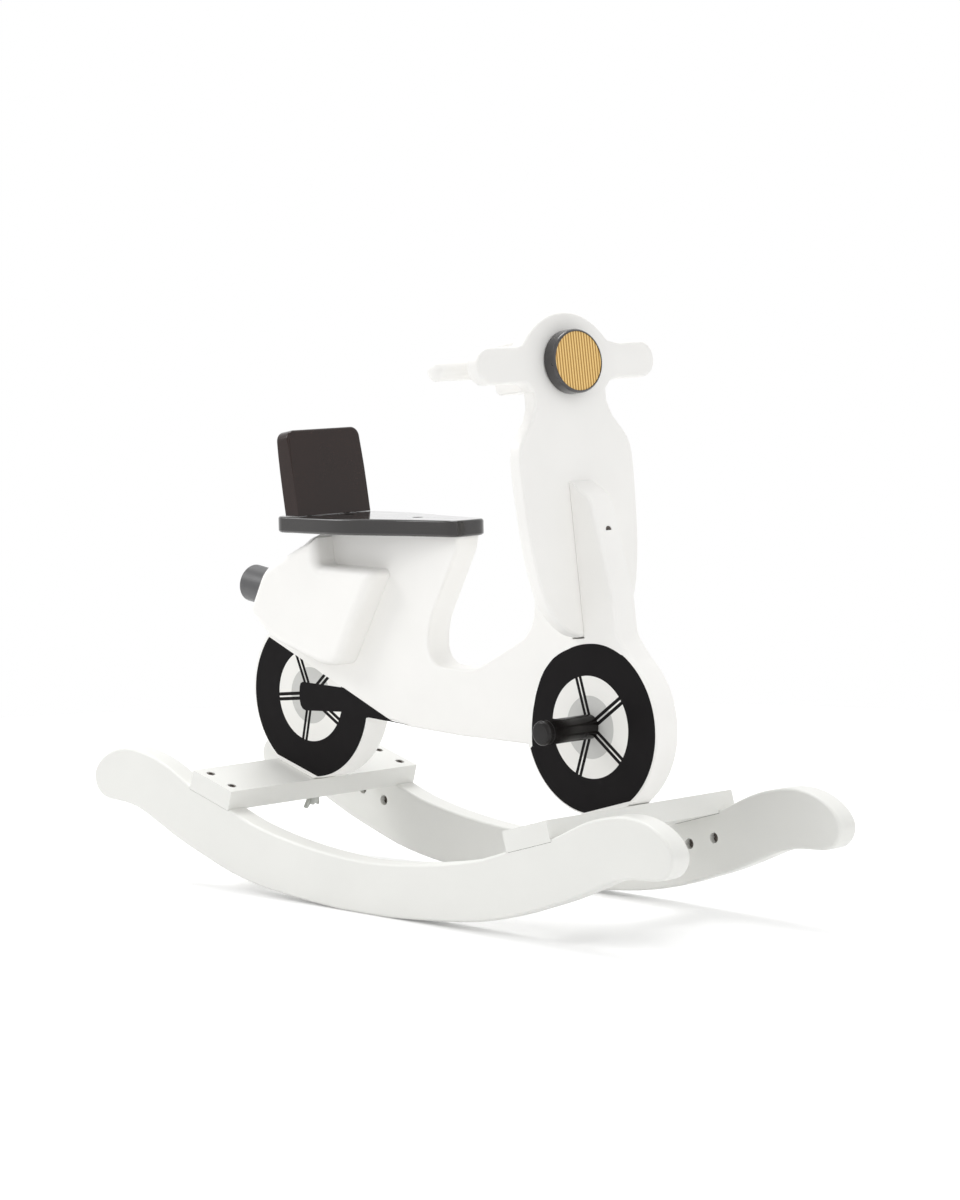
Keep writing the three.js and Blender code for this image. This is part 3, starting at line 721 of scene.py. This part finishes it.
def backrest_edges(first, second):
    return min(first.z, second.z) > BACKREST_FOOT and (first - second).length > BACKREST_STEP


rounded_board("seat", merged("seat"), SEAT_ROUND, seat_edges, black_gloss)
rounded_board("backrest", merged("backrest"), SEAT_ROUND, backrest_edges, brown_black)


# Handle

# In metres, in the shield's frame
HANDLE_PLACE = (0, 0.2564, -0.054)
HANDLE_RADIUS = 9.5
HANDLE_HALF = 125
HANDLE_DOME = 7

dome = [(
    HANDLE_RADIUS * math.cos(math.radians(a)),
    HANDLE_HALF - HANDLE_DOME + HANDLE_DOME * math.sin(math.radians(a))) for a in range(0, 90, 9)]
handle_profile = [
    (0, -HANDLE_HALF), *((r, -h) for r, h in reversed(dome)), *dome, (0, HANDLE_HALF)]
lathe("handlebar_shown", handle_profile,
      Matrix.Translation(SHIELD @ Vector(HANDLE_PLACE)) @ Matrix.Rotation(math.pi / 2, 4, "X"),
      white, ("handlebar",))


# Lamp

# In metres, in the shield's frame
LAMP_PLACE = (0, 0.2551, 0)
LAMP_HALF_WIDTH = 33
LAMP_HALF_HEIGHT = 29.75
LAMP_SIDE = 10.8
LAMP_ROUND = 3
FACE_LEVEL = 12.3
# In metres
STRIPE_PERIOD = 0.0035

LAMP = (SHIELD @ Matrix.Translation(LAMP_PLACE)
        @ Matrix.Diagonal((1, LAMP_HALF_HEIGHT / LAMP_HALF_WIDTH, 1, 1)))

lamp_profile = [
    (0, 0.3), (32, 0.3), (LAMP_HALF_WIDTH, 1.2), (LAMP_HALF_WIDTH, LAMP_SIDE),
    *quarter(LAMP_HALF_WIDTH - LAMP_ROUND, LAMP_SIDE, LAMP_ROUND, 80),
    (31, 13.6), (31, FACE_LEVEL), (0, FACE_LEVEL)]
face_profile = [(0, FACE_LEVEL), (30.6, FACE_LEVEL), (30.6, 12.9), (30.3, 13.2), (0, 13.25)]


def lamp_stripes():
    # Printed film: upright golden and dark bands, a little raised
    material, tree, shader = new_material("lamp_stripes")
    coordinates = tree.nodes.new("ShaderNodeTexCoord")
    wave = place(tree, "ShaderNodeTexWave", Scale=2 * math.pi / 20 / STRIPE_PERIOD, Distortion=0.0)
    wave.wave_type = "BANDS"
    wave.bands_direction = "Y"
    tree.links.new(coordinates.outputs["Object"], wave.inputs["Vector"])
    tree.links.new(ramp(tree, wave.outputs["Fac"], [
        (0.1, linear(168, 122, 52)), (0.45, linear(222, 170, 80)), (0.9, linear(246, 214, 142)),
    ]), shader.inputs["Base Color"])
    shader.inputs["Roughness"].default_value = 0.4
    add_bump(tree, shader, [(wave.outputs["Fac"], 0.08)])
    return material


lathe("headlight_body_shown", lamp_profile, LAMP, lamp_grey, ("headlight_body",), sides=96)
lathe("headlight_face_shown", face_profile, LAMP, lamp_stripes(), ("headlight_face",), sides=96)


# Footpegs and exhaust

PEG_FOOT = 15.3
# In metres
EXHAUST_REACH = -0.2177
EXHAUST_RISE_SHARE = 0.563
EXHAUST_TILT = math.radians(8)

peg_groove = ((11.5, 57.4), (11, 57.8), (11, 58.3), (11.5, 58.7))
for hand, side in HANDS:
    peg_place = Matrix.Translation((WHEEL_REACH * MM, side * PEG_FOOT * MM, WHEEL_HEIGHT * MM))
    lathe(hand + "_footpeg_shown", rod_profile(radius=11.5, length=65.5, rounding=3, groove=peg_groove),
          peg_place @ Matrix.Rotation(-side * math.pi / 2, 4, "X"),
          black_satin, (hand + "_footpeg",))

exhaust_height = (WHEEL_HEIGHT + EXHAUST_RISE_SHARE * SEAT_RISE) * MM
lathe("exhaust_pipe_shown", rod_profile(radius=18.75, length=72, rounding=2.5),
      Matrix.Translation((EXHAUST_REACH, 0, exhaust_height))
      @ Matrix.Rotation(-math.pi / 2 + EXHAUST_TILT, 4, "Y"),
      grey_satin, ("exhaust_pipe",), sides=96)


# Printed wheels and swing arm

# How far each print stands out from the board, so that the upper ones cover the lower
RIM_LEVEL = 0.06
HUB_LEVEL = 0.09
SPOKE_LEVEL = 0.12
TYRE_LEVEL = 0.15
ARM_LEVEL = 0.18
# How far each reaches into the board
PRINT_ROOT = 0.2

# The radius of the hole in each print's middle
AXLE = 0.5
# How far the rims and spokes reach under the tyre
RIM_LAP = 0.5
SPOKE_LAP = 0.6
SPOKE_OFFSETS = (-2.45, 2.45)
SPOKE_WIDTH = 3.3
SPOKES = (180, 108, 36, -36, -108)
REAR_TURN = 6.2
TYRE = 80.7
FRONT_TYRE_EXTRA = 0.3
FENDER_LINE = ((-248.1, 235.4), (0.3713, 0.9285))
# The tyre's lower edge along each plank stands a little above it
TYRE_FLAT = 76
SWING_ARM = [
    (-200.5, 194.3), (-203.4, 192.6), (-204.6, 189.2), (-205.2, 182.5), (-204.9, 176.5), (-203.5, 170.8),
    (-200.6, 167.4), (-196.5, 166.0), (-143.1, 169.1), (-112.5, 163.5), (-110.2, 165.6), (-106.4, 166.6),
    (-75.0, 165.2), (-51.1, 163.9), (-62.0, 164.9), (-75.0, 166.4), (-141.1, 193.1),
]
# The front tyre's outer radius under its fender, by angle
FENDER_TYRE = ((60.5, 80.3), (76, 79.3), (94, 77.1), (112, 75.6), (127, 76.3), (142, 75.4),
               (154, 73.8), (166, 73.1), (178, 73.9), (190, 75.8), (198.5, 78.2))


def tyre_flat(side):
    sine, cosine = math.sin(PLANK_TILT), math.cos(PLANK_TILT)
    return ((side * (WHEEL_REACH + TYRE_FLAT * sine), WHEEL_HEIGHT - TYRE_FLAT * cosine),
            (side * sine, -cosine))


def front_outer(degrees):
    angles, radii = zip(*FENDER_TYRE)
    if not angles[0] < degrees < angles[-1]:
        return TYRE + FRONT_TYRE_EXTRA
    return float(numpy.interp(degrees, angles, radii))


# The printed wheels sit a little off the plank frames
WHEELS = {
    "rear": {"centre": (-188.8, 181.8), "rim": 45.7, "hub": 28, "turn": REAR_TURN, "spoke_start": 12,
             "tyre": TYRE, "step": 2.0, "clips": [FENDER_LINE], "flat": tyre_flat(-1)},
    "front": {"centre": (190.2, 182.7), "rim": 47.8, "hub": 29.4, "turn": 0, "spoke_start": 10,
              "tyre": front_outer, "step": 1.0, "clips": [], "flat": tyre_flat(1)},
}


def sheet_object(name, build, material, side, level, clips=()):
    # build(bm) draws faces in X and Z; clips are (point, normal) lines, the normal's side is cut off
    bm = bmesh.new()
    build(bm)
    for (x, z), (nx, nz) in clips:
        bmesh.ops.bisect_plane(
            bm, geom=bm.verts[:] + bm.edges[:] + bm.faces[:], dist=1e-7,
            plane_co=(x * MM, 0, z * MM), plane_no=(nx, 0, nz), clear_outer=True)
    bmesh.ops.remove_doubles(bm, verts=bm.verts, dist=1e-6)
    result = bmesh.ops.extrude_face_region(bm, geom=bm.faces[:])
    moved = [item for item in result["geom"] if isinstance(item, bmesh.types.BMVert)]
    for vert in moved:
        vert.co.y = side * (HALF_BOARD + level) * MM
    for vert in bm.verts:
        if abs(vert.co.y) < 1e-6:
            vert.co.y = side * (HALF_BOARD - PRINT_ROOT) * MM
    bmesh.ops.recalc_face_normals(bm, faces=bm.faces)
    finished(name, made_mesh(name, bm), material)


def band(centre, inner, outer, step=2.0):
    # outer is a number, or a function of the angle in degrees
    def build(bm):
        count = round(360 / step)
        rows = []
        for i in range(count + 1):
            degrees = 360 * i / count
            angle = math.radians(degrees)
            far = outer(degrees) if callable(outer) else outer
            rows.append([bm.verts.new((
                (centre[0] + r * math.cos(angle)) * MM, 0, (centre[1] + r * math.sin(angle)) * MM))
                for r in (inner, far)])
        for (a, b), (c, d) in zip(rows, rows[1:]):
            bm.faces.new((a, b, d, c))
    return build


def polygon(points):
    def build(bm):
        bm.faces.new([bm.verts.new((x * MM, 0, z * MM)) for x, z in points])
    return build


def strips(centre, angles, near, far):
    # Two lines beside each angle's ray
    def build(bm):
        for degrees in angles:
            angle = math.radians(degrees)
            along = Vector((math.cos(angle), math.sin(angle)))
            across = Vector((-along.y, along.x))
            for offset in SPOKE_OFFSETS:
                corners = [(near, -1), (far, -1), (far, 1), (near, 1)]
                bm.faces.new([bm.verts.new((
                    (centre[0] + along.x * r + across.x * (offset + s * SPOKE_WIDTH / 2)) * MM, 0,
                    (centre[1] + along.y * r + across.y * (offset + s * SPOKE_WIDTH / 2)) * MM))
                    for r, s in corners])
    return build


def wheel_prints(hand, side, end):
    wheel = WHEELS[end]
    centre, rim, clips = wheel["centre"], wheel["rim"], wheel["clips"]
    angles = [degrees + wheel["turn"] for degrees in SPOKES]
    name = f"{hand}_{end}_"
    sheet_object(name + "rim_print", band(centre, AXLE, rim + RIM_LAP), rim_print, side, RIM_LEVEL, clips)
    sheet_object(name + "hub_print", band(centre, AXLE, wheel["hub"]), hub_print, side, HUB_LEVEL, clips)
    sheet_object(name + "spoke_print", strips(centre, angles, wheel["spoke_start"], rim + SPOKE_LAP),
                 tyre_black, side, SPOKE_LEVEL, clips)
    sheet_object(name + "tyre_print", band(centre, rim, wheel["tyre"], wheel["step"]),
                 tyre_black, side, TYRE_LEVEL, [*clips, wheel["flat"]])


for hand, side in HANDS:
    wheel_prints(hand, side, "rear")
    sheet_object(hand + "_swing_arm_print", polygon(SWING_ARM), tyre_black, side, ARM_LEVEL)
    wheel_prints(hand, side, "front")


# Fasteners

SLIT_LEVEL = 107
SLIT_DEPTH = 1.3
SLIT = [(-6, -0.75), (6, -0.75), (6, 0.75), (-6, 0.75)]


def socket(across, depth, matrix):
    return [prism(circle(across / math.sqrt(3), 6), depth, matrix)]


def cross(length, width, depth, matrix):
    a, b = length / 2, width / 2
    points = [(a, -b), (a, b), (b, b), (b, a), (-b, a), (-b, b), (-a, b), (-a, -b),
              (-b, -b), (-b, -a), (b, -a), (b, -b)]
    return [prism(points, depth, matrix)]


def refined(node, material, radius, cutters=(), body=BODY):
    # A copy of the CAD fastener with its recess cut and its rims eased
    holder = added("holder", made_mesh(node + "_fine", merged(node)))
    cut_away(holder, cutters)
    bevel = holder.modifiers.new("eased", "BEVEL")
    bevel.limit_method = "ANGLE"
    bevel.angle_limit = math.radians(40)
    bevel.width = radius * MM
    bevel.segments = 2
    mesh = smoothed(applied_to(holder, cutters), angle=30)
    finished(node + "_shown", mesh, material, body, stands_for=(node,))


for end, _ in ENDS:
    for row in ROWS:
        for hand, side in HANDS:
            name = f"{end}_{row}_{hand}"
            hexagon = socket(across=4, depth=2.6, matrix=axis_frame(name + "_bolt"))
            refined(name + "_bolt", dark_steel, radius=0.35, cutters=hexagon)
            vertices = nodes[name + "_barrel_nut"].data.vertices
            middle = sum((vert.co for vert in vertices), Vector()) / len(vertices)
            slit = prism(SLIT, SLIT_DEPTH, inner_face(middle.x, middle.z, side, SLIT_LEVEL))
            refined(name + "_barrel_nut", dark_steel, radius=0.4, cutters=[slit])
        name = f"{end}_{row}"
        refined(name + "_washer", zinc, radius=0.25)
        refined(name + "_hanger_bolt", zinc, radius=0.5)
        refined(name + "_wing_nut", zinc, radius=0.6, body=name + "_wing_nut")

for node in nodes:
    if node in ("nose_screw", "front_seat_screw", "rear_seat_screw"):
        drive = cross(length=4.6, width=1.1, depth=1.8, matrix=axis_frame(node))
        refined(node, dark_steel, radius=0.25, cutters=drive)
    elif node.endswith("_screw"):
        drive = cross(length=4.2, width=1.0, depth=1.6, matrix=axis_frame(node))
        refined(node, zinc, radius=0.25, cutters=drive)

# The CAD nodes that stay as they are
for node in nodes:
    if "dowel" in node:
        dress(nodes[node].data, beech)
    elif node == "footpeg_stud":
        dress(nodes[node].data, zinc)


# Thin dark sheets between the planks and the rockers: painted shade for the gaps there, which catch no
# light

JOINT_HALF = 28.7
JOINT_INNER = 102.3
JOINT_OUTER = 125.7
JOINT_LOW = -20.1
JOINT_HIGH = -19.2
JOINT_EASE = 0.1


# A thin dark sheet that paints in the shade of a gap
def gap_shade_sheet(name, matrix, low, high, material):
    bm = bmesh.new()
    bmesh.ops.create_cube(bm, size=1)
    for vert in bm.verts:
        vert.co = Vector([
            (small if part < 0 else large) * MM for part, small, large in zip(vert.co, low, high)])
    bmesh.ops.bevel(bm, geom=bm.edges[:], offset=JOINT_EASE * MM, segments=1, affect="EDGES")
    bmesh.ops.transform(bm, matrix=matrix, verts=bm.verts)
    finished(name, made_mesh(name, bm), material)


for end, end_side in ENDS:
    for hand, side in HANDS:
        near, far = sorted((side * JOINT_INNER, side * JOINT_OUTER))
        gap_shade_sheet(f"{end}_{hand}_gap_shade", plank_frame(end_side),
                    (-JOINT_HALF, near, JOINT_LOW), (JOINT_HALF, far, JOINT_HIGH), painted_gap_shade)


# Studio

# Lengths and places in the studio are in metres
FLOOR_RADIUS = 1.5
# The floor's glow to the rays that see it: from 0.3 m to 1.3 m out it rises between these levels
GLOW = (0.3, 1.3, 0.17, 0.34)
# The world's light: its strength falls between these levels towards the photographer
ROOM_TOWARDS = (0.70, -0.70, -0.14)
ROOM_LEVELS = (-0.1, 0.9, 0.8, 0.64)


def mapped(tree, value, levels, kind="LINEAR"):
    # levels are the range of the value, then what it becomes at either end
    node = tree.nodes.new("ShaderNodeMapRange")
    node.interpolation_type = kind
    for name, level in zip(("From Min", "From Max", "To Min", "To Max"), levels):
        node.inputs[name].default_value = level
    tree.links.new(value, node.inputs["Value"])
    return node.outputs["Result"]


def mixed(tree, factor, first, second):
    node = tree.nodes.new("ShaderNodeMixShader")
    tree.links.new(factor, node.inputs["Fac"])
    tree.links.new(first.outputs[0], node.inputs[1])
    tree.links.new(second.outputs[0], node.inputs[2])
    return node


def background_rays(tree):
    # 1 for the rays that see the background: camera, glossy and transmission
    path = tree.nodes.new("ShaderNodeLightPath")
    rays = path.outputs["Is Camera Ray"]
    for kind in ("Is Glossy Ray", "Is Transmission Ray"):
        either = tree.nodes.new("ShaderNodeMath")
        either.operation = "MAXIMUM"
        tree.links.new(rays, either.inputs[0])
        tree.links.new(path.outputs[kind], either.inputs[1])
        rays = either.outputs[0]
    return rays


def floor_material():
    material, tree, shader = new_material("floor")
    tree.links.new(between(tree, noise(tree, 0.7, 2), grey(0.86), grey(0.88)), shader.inputs["Base Color"])
    shader.inputs["Roughness"].default_value = 0.6
    shader.inputs["Specular IOR Level"].default_value = 0.2
    coordinates = tree.nodes.new("ShaderNodeTexCoord")
    distance = tree.nodes.new("ShaderNodeVectorMath")
    distance.operation = "LENGTH"
    tree.links.new(coordinates.outputs["Object"], distance.inputs[0])
    glow = place(tree, "ShaderNodeEmission", Color=(1, 1, 1, 1))
    tree.links.new(mapped(tree, distance.outputs["Value"], GLOW), glow.inputs["Strength"])
    none = place(tree, "ShaderNodeEmission", Color=(0, 0, 0, 1), Strength=0)
    total = tree.nodes.new("ShaderNodeAddShader")
    tree.links.new(shader.outputs[0], total.inputs[0])
    tree.links.new(mixed(tree, background_rays(tree), none, glow).outputs[0], total.inputs[1])
    # Seen from below the floor is clear, so that the underside can be looked at
    facing = tree.nodes.new("ShaderNodeNewGeometry")
    clear = tree.nodes.new("ShaderNodeBsdfTransparent")
    surface = mixed(tree, facing.outputs["Backfacing"], total, clear)
    tree.links.new(surface.outputs[0], tree.nodes["Material Output"].inputs["Surface"])
    return material


def floor():
    # A round sheet, past which glossy sides look into the room
    bm = bmesh.new()
    bmesh.ops.create_circle(bm, cap_ends=True, segments=96, radius=FLOOR_RADIUS)
    mesh = made_mesh("floor", bm)
    obj = added("floor", mesh)
    dress(mesh, floor_material())


def room():
    # White to the rays that see it; it lights the object less from the photographer's side
    world = bpy.data.worlds.new("studio")
    scene.world = world
    world.use_nodes = True
    tree = world.node_tree
    tree.nodes.clear()
    coordinates = tree.nodes.new("ShaderNodeTexCoord")
    facing = tree.nodes.new("ShaderNodeVectorMath")
    facing.operation = "DOT_PRODUCT"
    facing.inputs[1].default_value = ROOM_TOWARDS
    tree.links.new(coordinates.outputs["Generated"], facing.inputs[0])
    strength = mapped(tree, facing.outputs["Value"], ROOM_LEVELS, "SMOOTHSTEP")
    lit = place(tree, "ShaderNodeBackground", Color=(1, 1, 1, 1))
    tree.links.new(strength, lit.inputs["Strength"])
    seen = place(tree, "ShaderNodeBackground", Color=(1, 1, 1, 1), Strength=1.0)
    output = tree.nodes.new("ShaderNodeOutputWorld")
    tree.links.new(mixed(tree, background_rays(tree), lit, seen).outputs[0], output.inputs["Surface"])


def facing_away(direction):
    return direction.to_track_quat("Z", "Y").to_matrix().to_4x4()


def sun(name, towards, width, share):
    # share is the light's part in a white surface that faces it
    light = bpy.data.lights.new(name, "SUN")
    light.energy = share * math.pi
    light.angle = math.radians(width)
    added(name, light).matrix_world = facing_away(Vector(towards))


def softbox(name, position, target, size, power):
    light = bpy.data.lights.new(name, "AREA")
    light.shape = "SQUARE"
    light.size = size
    light.energy = power
    position = Vector(position)
    turned = facing_away(position - Vector(target))
    added(name, light).matrix_world = Matrix.Translation(position) @ turned


floor()
room()
sun("overhead", (-0.3, 0.18, 0.93), width=30, share=0.4)
sun("fill", (0.9, -0.25, 0.45), width=60, share=0.12)
softbox("key", (-2.5, -2.2, 2.6), target=(0, 0, 0.3), size=1.6, power=36)


# Camera

CAMERA_PLACE = (2.678324, -2.665685, 0.661694)
TURN = 0.7814813804
DROP = 0.0987665626
ROLL = -0.0081176771

forward = Vector((
    -math.sin(TURN) * math.cos(DROP), math.cos(TURN) * math.cos(DROP), -math.sin(DROP)))
right = Vector((math.cos(TURN), math.sin(TURN), 0))
up = right.cross(forward)
right_rolled = math.cos(ROLL) * right + math.sin(ROLL) * up
up_rolled = -math.sin(ROLL) * right + math.cos(ROLL) * up
camera_data = bpy.data.cameras.new("camera")
camera_data.sensor_fit = "HORIZONTAL"
camera_data.sensor_width = 36
camera_data.lens = 148.83093
camera_data.clip_end = 100
camera = added("camera", camera_data)
rotation = Matrix((right_rolled, up_rolled, -forward)).transposed().to_4x4()
camera.matrix_world = Matrix.Translation(CAMERA_PLACE) @ rotation
scene.camera = camera
scene.view_settings.view_transform = "Standard"
